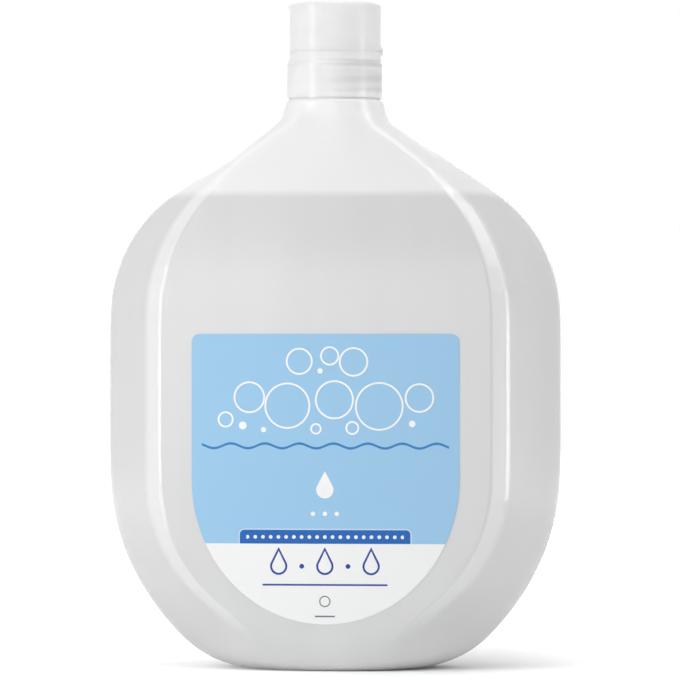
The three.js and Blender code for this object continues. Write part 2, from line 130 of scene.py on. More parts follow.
# Lid
lid_wall = 1.2 * MM
lid_crown = 0.3 * MM
pin_radius = 2.7 * MM
pin_tip_radius = 2 * MM
pin_engagement = 2 * MM
lid_corner = 1.3 * MM
lid_inner_edge = 0.3 * MM

# Thumb recess, across the lid and the top of the closure base
thumb_depth = 1.85 * MM
thumb_low_drop = 2.2 * MM
thumb_low_slope = 0.7
thumb_lip_depth = 3.2 * MM
thumb_lip_slope = 1.1
thumb_cutter_reach = 10 * MM
thumb_cutter_half_width = 20 * MM
thumb_backing_overlap = 0.4 * MM

# Hinge lugs and the film between them
hinge_lug_width = 9 * MM
hinge_lug_height = 2.6 * MM
hinge_lug_gap = 0.04 * MM
hinge_lug_root = 0.8 * MM
film_reach = 0.75 * MM
film_thickness = 0.2 * MM
film_overlap = 0.1 * MM
film_groove = 0.16 * MM
film_side_inset = 0.4 * MM

# Front and back panels, and the chamfers that frame them
panel_half_width = 55.9 * MM
panel_lower_height = 64 * MM
panel_upper_height = 118 * MM
panel_lower_arc = (53 * MM, math.radians(49))  # radius, and the straight run's angle
panel_upper_arc = (62 * MM, math.radians(41))
panel_edge_support = 0.45 * MM
panel_edge_low = 12 * MM  # the edges to support lie between these heights,
panel_edge_high = 172 * MM
panel_edge_depth = 12 * MM  # this far from the pack's middle plane or further,
panel_edge_inside = 1 * MM  # this near the chamfer on either side of it,
panel_edge_outside = 1.2 * MM
panel_edge_angle = math.radians(5)  # and turn by more than this
chamfer_width = 5 * MM
chamfer_end_width = 1 * MM
chamfer_taper_start = 28 * MM  # below the collar, as the next two are
chamfer_fade_start = 20 * MM
chamfer_end = 8 * MM

# Labels
label_curve_height = 64 * MM
label_corner = 2.7 * MM
label_border = 0.35 * MM
label_lift = 0.08 * MM
label_thickness = 0.14 * MM
label_stand_off = 2 * MM  # in front of the panel, before it is laid on
label_steps = 128
label_columns = 24

# Artwork of the labels
sky_blue = "A0CEF0"
tint_edge = 42.6 * MM  # sky blue above it, white below
tab_half_width = 28.6  # millimetres, as the artwork's masks take them
tab_height = 4.6

# Places that follow from these
bead_top = skirt_bottom - rest_gap
collar_top = bead_top - bead_height
land_height = skirt_bottom + thread_room_height
deck_top = skirt_bottom + base_height - seat_step
parting = (skirt_bottom + base_height + lid_bottom) / 2
thread_room_radius = skirt_radius - skirt_wall
thumb_flat = lid_radius - thumb_depth
closure_thread_height = bead_top + thread_start + thread_pitch * (closure_thread_turn - 0.5)


# Colours and shader nodes

def linear(hex_colour):
    """An sRGB hex colour as linear RGBA."""
    channels = [int(hex_colour[i:i + 2], 16) / 255 for i in (0, 2, 4)]
    return [c / 12.92 if c <= 0.04045 else ((c + 0.055) / 1.055) ** 2.4 for c in channels] + [1]


def add(tree, kind, inputs=None, **settings):
    """Adds a shader node with its settings, and links or sets its inputs by name or number.
    The two colours of a Mix node are its inputs 6 and 7."""
    made = tree.nodes.new("ShaderNode" + kind)
    for key, value in settings.items():
        setattr(made, key, value)
    for key, value in (inputs or {}).items():
        if isinstance(value, bpy.types.NodeSocket):
            tree.links.new(value, made.inputs[key])
        else:
            made.inputs[key].default_value = value
    return next((output for output in made.outputs if output.enabled), None)


def new_material(name):
    material = bpy.data.materials.new(name)
    material.use_nodes = True
    material.node_tree.nodes.clear()
    return material, material.node_tree


def object_axes(tree):
    """Object coordinates as a vector, and their X, Y and Z."""
    place = add(tree, "TexCoord").node.outputs["Object"]
    split = add(tree, "SeparateXYZ", {0: place}).node
    return place, split.outputs["X"], split.outputs["Y"], split.outputs["Z"]


def fade(tree, value, start, end, start_value=0.0, end_value=1.0):
    """A smooth change from one value to another between two places."""
    return add(tree, "MapRange", {0: value, 1: start, 2: end, 3: start_value, 4: end_value},
               interpolation_type="SMOOTHSTEP")


def inward_travel(tree, distance, radius, angle):
    """Travel towards the middle of an edge that leaves the upright on an arc and runs on
    straight at an angle from it, as the panel's edge does."""
    reach = radius * math.sin(angle)
    on_arc = add(tree, "Clamp", {0: distance, 1: 0.0, 2: reach})
    square = add(tree, "Math", {0: on_arc, 1: 2.0}, operation="POWER")
    rest = add(tree, "Math", {0: radius ** 2, 1: square}, operation="SUBTRACT")
    upright = add(tree, "Math", {0: rest}, operation="SQRT")
    arc = add(tree, "Math", {0: radius, 1: upright}, operation="SUBTRACT")
    past = add(tree, "Math", {0: distance, 1: reach}, operation="SUBTRACT")
    straight = add(tree, "Math", {0: past, 1: 0.0}, operation="MAXIMUM")
    return add(tree, "Math", {0: straight, 1: math.tan(angle), 2: arc}, operation="MULTIPLY_ADD")


def chamfer_band(tree, x, height):
    """1 on the chamfers that frame the panels, 0 on the panels and the sides: where the bottle's
    painted highlight lies.
    """
    below = add(tree, "Math", {0: panel_lower_height, 1: height}, operation="SUBTRACT")
    above = add(tree, "Math", {0: height, 1: panel_upper_height}, operation="SUBTRACT")
    from_middle = add(tree, "Math", {0: x}, operation="ABSOLUTE")
    for distance, radius, angle in ((below, *panel_lower_arc), (above, *panel_upper_arc)):
        from_middle = add(tree, "Math", {
            0: from_middle, 1: inward_travel(tree, distance, radius, angle)}, operation="ADD")
    from_edge = add(tree, "Math", {0: from_middle, 1: panel_half_width}, operation="SUBTRACT")
    width = fade(tree, height, collar_top - chamfer_taper_start, collar_top - chamfer_end,
                 chamfer_width, chamfer_end_width)
    past_band = add(tree, "Math", {0: from_edge, 1: width}, operation="SUBTRACT")
    band = fade(tree, from_edge, -0.5 * MM, 0.4 * MM)
    for mask in (fade(tree, past_band, -1.5 * MM, 1.5 * MM, 1.0, 0.0),
                 fade(tree, height, 9 * MM, 24 * MM),
                 fade(tree, height, collar_top - chamfer_fade_start, collar_top - chamfer_end,
                      1.0, 0.0)):
        band = add(tree, "Math", {0: band, 1: mask}, operation="MULTIPLY")
    return band


def blown_polyethylene():
    """Natural high-density polyethylene, extrusion blown. It is milky, with a satin skin
    whose faint orange peel blurs reflections, and a fine raised line where the mould halves
    met. It looks whiter above the gel, where only air is behind the wall. Along the
    chamfered corners it carries a painted highlight, a whiter tone that stands for the
    sheen of light that they reflect."""
    material, tree = new_material("blown_natural_polyethylene")
    place, x, depth, height = object_axes(tree)
    cloud = add(tree, "TexNoise", {"Vector": place, "Scale": 1 / (45 * MM), "Detail": 2})
    sway = add(tree, "MapRange", {0: cloud, 3: -0.8 * MM, 4: 0.8 * MM})
    level = add(tree, "Math", {0: height, 1: sway}, operation="ADD")
    air = fade(tree, level, fill_level - 1.5 * MM, fill_level + 1.9 * MM)
    tone = add(tree, "Mix", {0: air, 6: linear("DADADA"), 7: linear("F9F9F9")}, data_type="RGBA")
    # Painted highlight: the chamfers are mixed towards white, standing for the light they reflect.
    painted_chamfer_highlight = add(tree, "Math", {0: chamfer_band(tree, x, height), 1: 0.4}, operation="MULTIPLY")
    tone = add(tree, "Mix", {0: painted_chamfer_highlight, 6: tone, 7: linear("FFFFFF")}, data_type="RGBA")
    streak = add(tree, "TexNoise", {"Vector": add(
        tree, "Mapping", {"Vector": place, "Scale": (1, 1, 0.12)}), "Scale": 1 / (14 * MM)})
    uneven = add(tree, "MapRange", {0: streak, 1: 0.35, 2: 0.65, 3: 0.0, 4: 0.06})
    colour = add(tree, "Mix", {0: uneven, 6: tone, 7: linear("FFFFFF")}, data_type="RGBA")
    peel = add(tree, "TexNoise", {"Vector": place, "Scale": 1 / (1.6 * MM), "Detail": 3})
    skin = add(tree, "Bump", {"Height": peel, "Strength": 0.12, "Distance": 0.05 * MM})
    off_seam = add(tree, "Math", {0: depth}, operation="ABSOLUTE")
    seam = fade(tree, off_seam, 0.05 * MM, 0.3 * MM, 1.0, 0.0)
    normal = add(tree, "Bump", {"Height": seam, "Normal": skin, "Strength": 0.6,
                                "Distance": 0.12 * MM})
    surface = add(tree, "BsdfPrincipled", {
        "Base Color": colour, "Normal": normal, "Roughness": 0.25, "IOR": 1.54,
        "Specular IOR Level": 0.8,
        "Subsurface Weight": 0.25, "Subsurface Radius": (3, 3, 3), "Subsurface Scale": MM})
    add(tree, "OutputMaterial", {"Surface": surface})
    return material


def moulded_polypropylene(name, shadowed):
    """Natural polypropylene, injection moulded: satin, and so translucent that light runs
    through its walls. Where shadowed, the shade of the neck, its thread and the wad behind
    the skirt is painted on as faint slanting shadows over a fainter even shade. This painted
    shade is darker towards +X, the hinge side, which the key light leaves darker. Its satin
    grain is drawn coarser than it is, so that it shows."""
    material, tree = new_material(name)
    place, x, y, height = object_axes(tree)
    mist = add(tree, "TexNoise", {"Vector": place, "Scale": 1 / (9 * MM), "Detail": 2})
    thin = add(tree, "MapRange", {0: mist, 1: 0.35, 2: 0.65, 3: 0.0, 4: 1.0})
    colour = add(tree, "Mix", {0: thin, 6: linear("F4F4F4"), 7: linear("FAFAFA")},
                 data_type="RGBA")
    if shadowed:
        # Painted shade: the shadows of the neck, its thread and the wad behind the skirt.
        angle = add(tree, "Math", {0: y, 1: x}, operation="ARCTAN2")
        turns = add(tree, "Math", {0: angle, 1: 1 / (2 * math.pi)}, operation="MULTIPLY")
        rise = add(tree, "Math", {0: height, 1: bead_top + thread_start}, operation="SUBTRACT")
        pitches = add(tree, "Math", {0: rise, 1: thread_pitch}, operation="DIVIDE")
        phase = add(tree, "Math", {0: pitches, 1: turns}, operation="SUBTRACT")
        off_ridge = add(tree, "Math", {0: phase, 1: 0.5}, operation="PINGPONG")
        ridge = fade(tree, off_ridge, 0.08, 0.4, 0.65, 0.32)
        low = fade(tree, height, bead_top + 0.8 * MM, bead_top + 3 * MM)
        high = fade(tree, height, neck_top - 2 * MM, neck_top, 1.0, 0.0)
        band = add(tree, "Math", {0: low, 1: high}, operation="MULTIPLY")
        thread = add(tree, "Math", {0: ridge, 1: band}, operation="MULTIPLY")
        wad_low = fade(tree, height, neck_top - 0.6 * MM, neck_top + 0.6 * MM)
        wad_high = fade(tree, height, land_height, land_height + 1.2 * MM, 0.75, 0.0)
        wad = add(tree, "Math", {0: wad_low, 1: wad_high}, operation="MULTIPLY")
        shade = add(tree, "Math", {0: thread, 1: wad}, operation="MAXIMUM")
        # Painted shade, stronger towards +X, the side that the key light leaves darker.
        hinge_side_shade = fade(tree, x, -6 * MM, 12 * MM, 0.1, 0.9)
        shade = add(tree, "Math", {0: shade, 1: hinge_side_shade}, operation="MULTIPLY")
        colour = add(tree, "Mix", {0: shade, 6: colour, 7: linear("CFCFCF")}, data_type="RGBA")
    grain = add(tree, "TexNoise", {"Vector": place, "Scale": 1 / (0.8 * MM), "Detail": 2})
    normal = add(tree, "Bump", {"Height": grain, "Strength": 0.06, "Distance": 0.03 * MM})
    surface = add(tree, "BsdfPrincipled", {
        "Base Color": colour, "Normal": normal, "Roughness": 0.28, "IOR": 1.5,
        "Subsurface Weight": 0.3, "Subsurface Radius": (2, 2, 2), "Subsurface Scale": MM})
    add(tree, "OutputMaterial", {"Surface": surface})
    return material


def clear_gel():
    """Washing gel: clear, thick and faintly blue, with tiny trapped bubbles."""
    material, tree = new_material("clear_washing_gel")
    place = object_axes(tree)[0]
    cell = add(tree, "TexVoronoi", {"Vector": place, "Scale": 1 / (6 * MM)})
    bubble = fade(tree, cell, 0.06, 0.12, 1.0, 0.0)
    colour = add(tree, "Mix", {0: bubble, 6: linear("E6EDF1"), 7: linear("FAFCFD")},
                 data_type="RGBA")
    surface = add(tree, "BsdfPrincipled", {
        "Base Color": colour, "Roughness": 0.08, "IOR": 1.37,
        "Subsurface Weight": 0.6, "Subsurface Radius": (8, 9, 10), "Subsurface Scale": MM})
    add(tree, "OutputMaterial", {"Surface": surface})
    return material


def foamed_polyethylene():
    """Foamed polyethylene, cut from sheet: white and matt, dimpled by its closed cells."""
    material, tree = new_material("foamed_polyethylene")
    place = object_axes(tree)[0]
    cell = add(tree, "TexVoronoi", {"Vector": place, "Scale": 1 / (0.35 * MM)})
    colour = add(tree, "Mix", {0: cell, 6: linear("E4E4E1"), 7: linear("F4F4F2")},
                 data_type="RGBA")
    normal = add(tree, "Bump", {"Height": cell, "Strength": 0.5, "Distance": 0.1 * MM})
    surface = add(tree, "BsdfPrincipled", {
        "Base Color": colour, "Normal": normal, "Roughness": 0.8})
    add(tree, "OutputMaterial", {"Surface": surface})
    return material


# Label artwork: plain bubbles, drops and a wave. Each shape is a mask on the label's own
# plane, in millimetres from the bottle's middle line and its base.

def disc(tree, flat, x, z, radius):
    away = add(tree, "VectorMath", {0: flat, 1: (x * MM, 0, z * MM)}, operation="DISTANCE")
    return add(tree, "Math", {0: away, 1: radius * MM}, operation="LESS_THAN")


def ring(tree, flat, x, z, radius, stroke=0.6):
    away = add(tree, "VectorMath", {0: flat, 1: (x * MM, 0, z * MM)}, operation="DISTANCE")
    return add(tree, "Math", {0: away, 1: radius * MM, 2: stroke / 2 * MM}, operation="COMPARE")


def rounded_bar(tree, flat, x, z, half_width, half_height, corner):
    from_middle = add(tree, "VectorMath", {0: flat, 1: (x * MM, 0, z * MM)}, operation="SUBTRACT")
    mirrored = add(tree, "VectorMath", {0: from_middle}, operation="ABSOLUTE")
    core = ((half_width - corner) * MM, 0, (half_height - corner) * MM)
    beyond = add(tree, "VectorMath", {0: mirrored, 1: core}, operation="SUBTRACT")
    outside = add(tree, "VectorMath", {0: beyond, 1: (0, 0, 0)}, operation="MAXIMUM")
    away = add(tree, "VectorMath", {0: outside}, operation="LENGTH")
    return add(tree, "Math", {0: away, 1: corner * MM}, operation="LESS_THAN")


def drop(tree, flat, x, z, radius, apex):
    """A round drop about (x, z), drawn up to a point at the apex above its middle."""
    round_part = disc(tree, flat, x, z, radius)
    from_middle = add(tree, "VectorMath", {0: flat, 1: (x * MM, 0, z * MM)}, operation="SUBTRACT")
    split = add(tree, "SeparateXYZ", {0: from_middle}).node
    aside = add(tree, "Math", {0: split.outputs["X"]}, operation="ABSOLUTE")
    slope = radius / math.sqrt(apex ** 2 - radius ** 2)
    reach = add(tree, "Math", {0: split.outputs["Z"], 1: -slope, 2: apex * slope * MM},
                operation="MULTIPLY_ADD")
    inside = add(tree, "Math", {0: aside, 1: reach}, operation="LESS_THAN")
    above = add(tree, "Math", {0: split.outputs["Z"], 1: radius ** 2 / apex * MM},
                operation="GREATER_THAN")
    point = add(tree, "Math", {0: inside, 1: above}, operation="MULTIPLY")
    return add(tree, "Math", {0: round_part, 1: point}, operation="MAXIMUM")


def all_of(tree, masks):
    together = masks[0]
    for mask in masks[1:]:
        together = add(tree, "Math", {0: together, 1: mask}, operation="MAXIMUM")
    return together


def printed(tree, under, mask, hex_colour):
    return add(tree, "Mix", {0: mask, 6: under, 7: linear(hex_colour)}, data_type="RGBA")


def label_film(name, artwork):
    """White polypropylene film, printed in flat colours under a clear gloss varnish, which
    lies a little uneven where the film follows the blown wall. The ink's grain is drawn
    coarser than it is, so that it shows."""
    material, tree = new_material(name)
    place, x, _, height = object_axes(tree)
    flat = add(tree, "CombineXYZ", {0: x, 2: height})
    colour = artwork(tree, flat, x, height)
    ink = add(tree, "TexNoise", {"Vector": place, "Scale": 1 / (0.5 * MM), "Detail": 2})
    speck = add(tree, "MapRange", {0: ink, 1: 0.3, 2: 0.7, 3: 0.0, 4: 0.015})
    colour = add(tree, "Mix", {0: speck, 6: colour, 7: linear("FFFFFF")}, data_type="RGBA")
    ripple = add(tree, "TexNoise", {"Vector": place, "Scale": 1 / (7 * MM), "Detail": 2})
    normal = add(tree, "Bump", {"Height": ripple, "Strength": 0.1, "Distance": 0.2 * MM})
    surface = add(tree, "BsdfPrincipled", {
        "Base Color": colour, "Normal": normal, "Roughness": 0.3, "IOR": 1.49,
        "Specular IOR Level": 0.3})
    add(tree, "OutputMaterial", {"Surface": surface})
    return material


def front_artwork(tree, flat, x, height):
    """Sky blue with bubbles, a wave and a drop, over a white foot with three blue drops."""
    above = add(tree, "Math", {0: height, 1: tint_edge}, operation="GREATER_THAN")
    colour = add(tree, "Mix", {0: above, 6: linear("FBFBFB"), 7: linear(sky_blue)},
                 data_type="RGBA")
    bubbles = [
        (-8.6, 103.4, 4.2), (1.6, 105.2, 2.9), (9.6, 103.2, 4.6),
        (-25.4, 91.4, 5.0), (-12.6, 88.6, 7.4), (3.2, 90.6, 6.2), (18.2, 88.4, 7.8),
        (31.6, 91.2, 4.6), (-33.4, 84.0, 2.4), (-3.0, 80.9, 1.6), (9.2, 81.2, 2.0),
    ]
    white = [ring(tree, flat, *bubble) for bubble in bubbles]
    white += [disc(tree, flat, *dot) for dot in (
        (-1.6, 100.2, 0.9), (29.2, 82.6, 1.1), (-20.6, 80.6, 0.9), (-27.6, 82.0, 1.3))]
    white.append(drop(tree, flat, 0, 60.6, 2.9, 6.2))
    white += [disc(tree, flat, along, 52.6, 0.75) for along in (-4, 0, 4)]
    colour = printed(tree, colour, all_of(tree, white), "FFFFFF")
    swell = add(tree, "Math", {0: add(tree, "Math", {0: x, 1: 2 * math.pi / (11.5 * MM)},
                                      operation="MULTIPLY")}, operation="SINE")
    crest = add(tree, "Math", {0: swell, 1: 0.8 * MM, 2: 75.2 * MM}, operation="MULTIPLY_ADD")
    wave = add(tree, "Math", {0: height, 1: crest, 2: 0.4 * MM}, operation="COMPARE")
    within = add(tree, "Math", {0: x, 1: 0, 2: 41.5 * MM}, operation="COMPARE")
    wave = add(tree, "Math", {0: wave, 1: within}, operation="MULTIPLY")
    colour = printed(tree, colour, wave, "1F7FC4")
    tab_middle = tint_edge / MM + tab_height / 2 - 1
    halo = rounded_bar(tree, flat, 0, tab_middle, tab_half_width + 0.4, tab_height / 2 + 1.4, 1.9)
    tab = rounded_bar(tree, flat, 0, tab_middle, tab_half_width, tab_height / 2 + 1, 1.5)
    for mask, hex_colour in ((halo, "CBE4F7"), (tab, "0062B8")):
        colour = printed(tree, colour, add(tree, "Math", {0: mask, 1: above},
                                           operation="MULTIPLY"), hex_colour)
    beat = add(tree, "Math", {0: x, 1: 1.3 * MM}, operation="PINGPONG")
    beads = disc(tree, add(tree, "CombineXYZ", {0: beat, 2: height}), 0,
                 tint_edge / MM + 2.25, 0.62)
    on_tab = add(tree, "Math", {0: x, 1: 0, 2: (tab_half_width - 2.2) * MM}, operation="COMPARE")
    colour = printed(tree, colour, add(tree, "Math", {0: beads, 1: on_tab},
                                       operation="MULTIPLY"), "F4F9FD")
    outlines = []
    for along in (-15.5, 0, 15.5):
        hollow = drop(tree, flat, along, 35.1, 2.2, 5.1)
        solid = drop(tree, flat, along, 35.1, 2.9, 6.4)
        outlines.append(add(tree, "Math", {0: solid, 1: hollow}, operation="SUBTRACT"))
    outlines += [disc(tree, flat, along, 35.1, 0.8) for along in (-7.75, 7.75)]
    outlines.append(rounded_bar(tree, flat, 0, 28.9, 21, 0.3, 0.29))
    colour = printed(tree, colour, all_of(tree, outlines), "003C9E")
    grey = [ring(tree, flat, 0, 23.4, 1.7, 0.4), rounded_bar(tree, flat, 0, 18.4, 3.4, 0.25, 0.24)]
    return printed(tree, colour, all_of(tree, grey), "6E7378")


def back_artwork(tree, flat, x, height):
    """White with a sky-blue head that holds a drop, and fine ruled lines below."""
    head = add(tree, "Math", {0: height, 1: 92 * MM}, operation="GREATER_THAN")
    colour = add(tree, "Mix", {0: head, 6: linear("FBFBFB"), 7: linear(sky_blue)},
                 data_type="RGBA")
    white = [drop(tree, flat, 0, 100.4, 2.9, 6.2)]
    white += [ring(tree, flat, side * away, 101.6, radius)
              for side in (-1, 1) for away, radius in ((11, 3.2), (19.5, 2.2), (26, 1.4))]
    colour = printed(tree, colour, all_of(tree, white), "FFFFFF")
    beat = add(tree, "Math", {0: height, 1: 1.6 * MM}, operation="PINGPONG")
    line = add(tree, "Math", {0: beat, 1: 0.22 * MM}, operation="LESS_THAN")
    block = all_of(tree, [rounded_bar(tree, flat, 0, 77, 38, 9.8, 0.5),
                          rounded_bar(tree, flat, 9.5, 55, 28.5, 6.6, 0.5)])
    ruled = add(tree, "Math", {0: line, 1: block}, operation="MULTIPLY")
    colour = printed(tree, colour, ruled, "8FA9BE")
    blue = [rounded_bar(tree, flat, 0, 40.6, 30, 0.5, 0.49),
            ring(tree, flat, 0, 28.6, 4.2, 0.7), drop(tree, flat, 0, 27.7, 1.5, 3.4)]
    return printed(tree, colour, all_of(tree, blue), "003C9E")


# Modelling helpers

def select_only(piece):
    bpy.ops.object.select_all(action="DESELECT")
    piece.select_set(True)
    bpy.context.view_layer.objects.active = piece


def edit(piece):
    select_only(piece)
    bpy.ops.object.mode_set(mode="EDIT")


def object_mode():
    bpy.ops.object.mode_set(mode="OBJECT")


def select_where(piece, kind, test):
    """In edit mode, selects just the verts, edges or faces of which the test is true."""
    mesh = bmesh.from_edit_mesh(piece.data)
    bpy.ops.mesh.select_mode(type={"verts": "VERT", "edges": "EDGE", "faces": "FACE"}[kind])
    bpy.ops.mesh.select_all(action="DESELECT")
    for element in getattr(mesh, kind):
        if test(element):
            element.select_set(True)
    mesh.select_flush_mode()
    bmesh.update_edit_mesh(piece.data)


def middle(element):
    return sum((v.co for v in element.verts), Vector()) / len(element.verts)


def extrude_round(start, profile):
    """Carries the selected ring from (radius, height) start through the profile's points."""
    radius, height = start
    for next_radius, next_height in profile:
        bpy.ops.mesh.extrude_region_move(
            TRANSFORM_OT_translate={"value": (0, 0, next_height - height)})
        share = next_radius / radius
        bpy.ops.transform.resize(value=(share, share, 1), center_override=(0, 0, next_height))
        radius, height = next_radius, next_height


def turned(name, profile):
    """A turned piece: a ring extruded through (radius, height) points. A profile that comes
    back to its start is closed on itself, and any other is capped at both ends."""
    radius, height = profile[0]
    bpy.ops.object.select_all(action="DESELECT")
    bpy.ops.mesh.primitive_circle_add(vertices=turned_steps, radius=radius,
                                      location=(0, 0, height))
    piece = bpy.context.object
    piece.name = name
    bpy.ops.object.transform_apply(location=True)
    edit(piece)
    bpy.ops.mesh.select_all(action="SELECT")
    extrude_round(profile[0], profile[1:])
    if profile[0] == profile[-1]:
        bpy.ops.mesh.select_all(action="SELECT")
        bpy.ops.mesh.remove_doubles(threshold=0.002 * MM)
    else:
        for end in (0, -1):
            select_where(piece, "edges", lambda e: e.is_boundary
                         and abs(middle(e).z - profile[end][1]) < 0.01 * MM)
            bpy.ops.mesh.edge_face_add()
            bpy.ops.mesh.poke()
    bpy.ops.mesh.select_all(action="SELECT")
    bpy.ops.mesh.normals_make_consistent(inside=False)
    object_mode()
    return piece


def apply_modifier(piece, kind, **settings):
    select_only(piece)
    modifier = piece.modifiers.new(kind.lower(), kind)
    for key, value in settings.items():
        setattr(modifier, key, value)
    bpy.ops.object.modifier_apply(modifier=modifier.name)


def block(name, low, high):
    """A cube primitive with its faces at two corners."""
    bpy.ops.object.select_all(action="DESELECT")
    bpy.ops.mesh.primitive_cube_add(size=1, location=(Vector(low) + Vector(high)) / 2)
    piece = bpy.context.object
    piece.name = name
    piece.scale = Vector(high) - Vector(low)
    bpy.ops.object.transform_apply(location=True, scale=True)
    return piece


def combine(piece, other, operation):
    """Joins, cuts or keeps what is common, and removes the other piece."""
    apply_modifier(piece, "BOOLEAN", operation=operation, object=other, solver="EXACT")
    bpy.data.objects.remove(other)


def round_edges(piece):
    apply_modifier(piece, "BEVEL", width=fine_edge, segments=3, limit_method="ANGLE",
                   angle_limit=fine_edge_angle)


def smooth(piece, angle=30):
    select_only(piece)
    bpy.ops.object.shade_smooth_by_angle(angle=math.radians(angle))


def dress(piece, materials, body, slot, *replaced):
    """Gives a piece its materials and its body, and hides the CAD nodes that it stands in for. The
    slot argument is not used.
    """
    while len(piece.data.materials) < len(materials):
        piece.data.materials.append(None)
    for i, material in enumerate(materials):
        piece.data.materials[i] = material
    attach(piece, body)
    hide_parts(*replaced)


# Bottle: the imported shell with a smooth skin, and its neck extruded anew

def copy_of_node(node, name):
    piece = nodes[node].copy()
    piece.data = nodes[node].data.copy()
    piece.name = name
    piece.parent = None
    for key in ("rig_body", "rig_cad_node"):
        del piece[key]
    bpy.context.scene.collection.objects.link(piece)
    edit(piece)
    bpy.ops.mesh.select_all(action="SELECT")
    bpy.ops.mesh.remove_doubles(threshold=0.001 * MM)
    object_mode()
    return piece


def softened(profile, soft):
    """Doubles each corner of a profile, so that a smooth skin keeps it nearly sharp."""
    points = []
    for i, corner in enumerate(profile):
        here = Vector(corner)
        before = profile[i - 1] if i else None
        after = profile[i + 1] if i + 1 < len(profile) else None
        for other in (before, after):
            if other:
                way = Vector(other) - here
                points.append(tuple(here + way.normalized() * min(soft, way.length / 3)))
            else:
                points.append(corner)
    return points


def thread_ridge(name, root_radius, crest_radius, start_height, start_turn):
    """A helical ridge: a small upright plane, narrowed at its crest and screwed round Z,
    with its crest sunk towards the root over the first and last steps."""
    outward = 1 if crest_radius > root_radius else -1
    sunk = root_radius - outward * thread_overlap
    middle_radius = (sunk + crest_radius) / 2
    start = 2 * math.pi * start_turn
    bpy.ops.object.select_all(action="DESELECT")
    bpy.ops.mesh.primitive_plane_add(
        size=1, rotation=(math.pi / 2, 0, start),
        location=(middle_radius * math.cos(start), middle_radius * math.sin(start), start_height))
    piece = bpy.context.object
    piece.name = name
    piece.scale = (abs(crest_radius - sunk), thread_root_width, 1)
    bpy.ops.object.transform_apply(location=True, rotation=True, scale=True)
    edit(piece)
    select_where(piece, "verts", lambda v: abs(v.co.xy.length - crest_radius) < 0.05 * MM)
    bpy.ops.transform.resize(value=(1, 1, thread_crest_width / thread_root_width),
                             center_override=(0, 0, start_height))
    object_mode()
    sweep = 2 * math.pi * thread_turns
    steps = round(turned_steps * thread_turns)
    apply_modifier(piece, "SCREW", axis="Z", angle=sweep, steps=steps, render_steps=steps,
                   screw_offset=thread_pitch * thread_turns, use_smooth_shade=False)
    edit(piece)
    step = sweep / steps
    for i in range(round(thread_lead_in / step)):
        share = 0.1 + i * step / thread_lead_in
        wanted = (root_radius + (crest_radius - root_radius) * share) / crest_radius
        for turn in (i * step, sweep - i * step):
            way = Vector((math.cos(start + turn), math.sin(start + turn)))
            height = start_height + thread_pitch * turn / (2 * math.pi)
            select_where(piece, "verts", lambda v: (
                abs(v.co.xy.length - crest_radius) < 0.05 * MM and abs(v.co.z - height) < MM
                and (v.co.xy.normalized() - way).length < step / 3))
            bpy.ops.transform.resize(value=(wanted, wanted, 1), center_override=(0, 0, height))
    bpy.ops.mesh.select_all(action="SELECT")
    bpy.ops.mesh.remove_doubles(threshold=0.001 * MM)
    select_where(piece, "edges", lambda e: e.is_boundary)
    bpy.ops.mesh.fill_holes(sides=4)
    bpy.ops.mesh.select_all(action="SELECT")
    bpy.ops.mesh.normals_make_consistent(inside=False)
    object_mode()
    return piece


def panel_half_at(height):
    half = panel_half_width
    for distance, (radius, angle) in ((panel_lower_height - height, panel_lower_arc),
                                      (height - panel_upper_height, panel_upper_arc)):
        reach = radius * math.sin(angle)
        on_arc = min(max(distance, 0), reach)
        half -= radius - math.sqrt(radius ** 2 - on_arc ** 2)
        half -= max(distance - reach, 0) * math.tan(angle)
    return half


def is_panel_edge(edge):
    """Either edge of a panel's chamfer, clear of the base and the neck."""
    at = middle(edge)
    from_edge = abs(at.x) - panel_half_at(at.z)
    return (len(edge.link_faces) == 2 and abs(at.y) > panel_edge_depth
            and panel_edge_low < at.z < panel_edge_high
            and -panel_edge_inside < from_edge < chamfer_width + panel_edge_outside
            and edge.calc_face_angle() > panel_edge_angle)


def model_bottle():
    piece = copy_of_node("bottle", "blown_bottle")
    cut = collar_top - shell_cut_drop
    edit(piece)
    bpy.ops.mesh.select_all(action="SELECT")
    bpy.ops.mesh.bisect(plane_co=(0, 0, cut), plane_no=(0, 0, 1), clear_outer=True)
    bpy.ops.mesh.select_all(action="SELECT")
    bpy.ops.mesh.tris_convert_to_quads(face_threshold=math.pi, shape_threshold=math.pi)
    select_where(piece, "edges", is_panel_edge)
    bpy.ops.mesh.bevel(offset=panel_edge_support, segments=2, profile=1, clamp_overlap=True)
    select_where(piece, "edges", lambda e: e.is_boundary and middle(e).xy.length > bead_radius)
    start_radius = max(v.co.xy.length for v in bmesh.from_edit_mesh(piece.data).verts if v.select)
    corners = [
        (start_radius - neck_edge, collar_top + neck_edge), (bead_radius, collar_top + neck_edge),
        (bead_radius, bead_top), (neck_radius, bead_top), (neck_radius, neck_top - neck_edge),
        (neck_radius - neck_edge, neck_top), (bore_radius, neck_top),
        (bore_radius, neck_top - bore_depth),
    ]
    extrude_round((start_radius, cut), softened(corners, neck_corner_hold))
    select_where(piece, "edges", lambda e: e.is_boundary)
    bpy.ops.mesh.bridge_edge_loops()
    bpy.ops.mesh.select_all(action="SELECT")
    bpy.ops.mesh.normals_make_consistent(inside=False)
    object_mode()
    apply_modifier(piece, "SUBSURF", levels=2, render_levels=2)
    return piece


def add_neck_thread(piece):
    combine(piece, thread_ridge("neck_thread", neck_radius, neck_radius + thread_depth,
                                bead_top + thread_start, 0), "UNION")


# Closure

